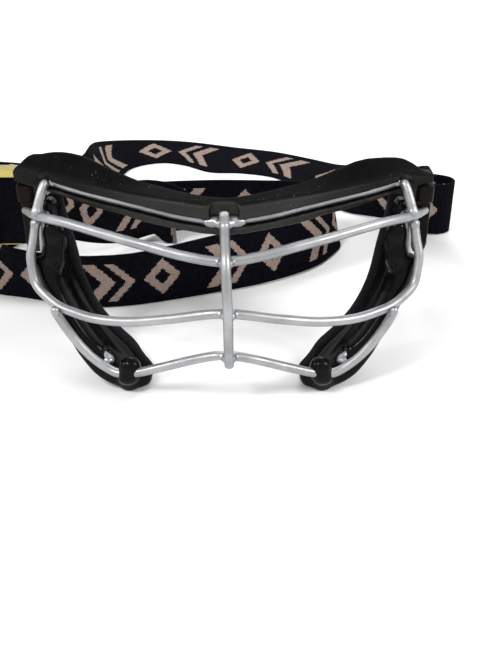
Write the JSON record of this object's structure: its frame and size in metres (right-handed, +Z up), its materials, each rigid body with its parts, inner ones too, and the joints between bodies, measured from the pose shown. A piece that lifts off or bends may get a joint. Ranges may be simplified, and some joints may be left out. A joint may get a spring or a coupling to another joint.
{
  "type": "lacrosse goggles",
  "caption": "Lacrosse goggles with a welded wire cage, a moulded brow with its cushion, rubber side pads, temple brackets, an elastic strap lying in loops and a sliding adjuster",
  "frame": {"origin": "The middle of the flat rear face of the brow cushion, where the forehead rests.", "axes": "+Y points from the cage back to the face, +Z points up from the cheek pads to the brow, and +X points to the right of a viewer who faces the front of the goggles."},
  "size_m": [0.2734, 0.3335, 0.0934],
  "materials": {
    "wire": "satin silver grey steel wire",
    "moulding": "gloss black moulded plastic",
    "bracket": "satin black plastic",
    "pad": "glossy black soft rubber",
    "foam": "black cloth-faced foam",
    "webbing": "near-black elastic webbing with a woven tan pattern",
    "slider": "polished gold-coloured metal"
  },
  "bodies": {
    "goggles": {"brow_wire": "wire", "eye_wire": "wire", "lower_wire": "wire", "bottom_wire": "wire", "centre_bar": "wire", "side_upright_right": "wire", "side_upright_left": "wire", "side_wire_right": "wire", "side_wire_left": "wire", "brow_moulding": "moulding", "brow_cushion": "foam", "temple_bracket_right": "bracket", "temple_bracket_left": "bracket", "side_pad_right": "pad", "side_pad_left": "pad", "cheek_cushion_right": "foam", "cheek_cushion_left": "foam", "strap": "webbing"},
    "slider": {"strap_slider": "slider"}
  },
  "joints": [
    {"name": "slider_slide", "type": "slide", "parent": "goggles", "child": "slider", "axis": [-1, 0, 0], "range_m": [0, 0.016]}
  ]
}
